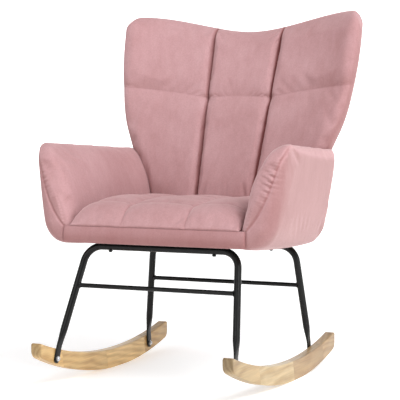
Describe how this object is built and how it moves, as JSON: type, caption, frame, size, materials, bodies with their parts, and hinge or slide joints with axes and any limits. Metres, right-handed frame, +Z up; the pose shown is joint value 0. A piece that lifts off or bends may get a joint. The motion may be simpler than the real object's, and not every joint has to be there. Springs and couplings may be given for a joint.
{
  "type": "rocking nursery chair",
  "caption": "Upholstered wing-back rocking armchair with a channelled, buttonless quilted back, a bent tube under-frame and wooden rockers.",
  "frame": {"origin": "on the floor under the middle of the chair's bounding box", "axes": "+Z up; the chair faces -Y; +X is the left-hand side as one sits in it"},
  "size_m": [0.7422, 0.8314, 1.0087],
  "materials": {
    "rocker_wood": "clear satin lacquer",
    "frame_steel": "satin black powder coat",
    "zinc": "zinc plated",
    "pine": "planed, bare",
    "plywood": "bare plywood",
    "dust_cloth": "thin non-woven cloth",
    "velvet": "short-pile velvet over foam"
  },
  "bodies": {
    "root": {"rocker_right": "rocker_wood", "rocker_left": "rocker_wood", "leg_frame_front": "frame_steel", "leg_frame_rear": "frame_steel", "stretcher_front": "frame_steel", "stretcher_rear": "frame_steel", "rocker_washer_front_right": "zinc", "rocker_washer_front_left": "zinc", "rocker_washer_rear_right": "zinc", "rocker_washer_rear_left": "zinc", "rocker_bolt_front_right": "zinc", "rocker_bolt_front_left": "zinc", "rocker_bolt_rear_right": "zinc", "rocker_bolt_rear_left": "zinc", "rocker_insert_front_right": "zinc", "rocker_insert_front_left": "zinc", "rocker_insert_rear_right": "zinc", "rocker_insert_rear_left": "zinc", "seat_bolt_front_right": "frame_steel", "seat_bolt_front_left": "frame_steel", "seat_bolt_rear_right": "frame_steel", "seat_bolt_rear_left": "frame_steel", "tee_nut_front_right": "zinc", "tee_nut_front_left": "zinc", "tee_nut_rear_right": "zinc", "tee_nut_rear_left": "zinc", "seat_timber_front": "pine", "seat_timber_rear": "pine", "seat_timber_right": "pine", "seat_timber_left": "pine", "seat_deck": "plywood", "dust_cover": "dust_cloth", "arm_panel_right": "plywood", "arm_panel_left": "plywood", "arm_right": "velvet", "arm_left": "velvet", "seat_cushion": "velvet", "front_band": "velvet", "back_panel": "plywood", "back_cushion": "velvet", "back_cover": "velvet"}
  },
  "joints": []
}
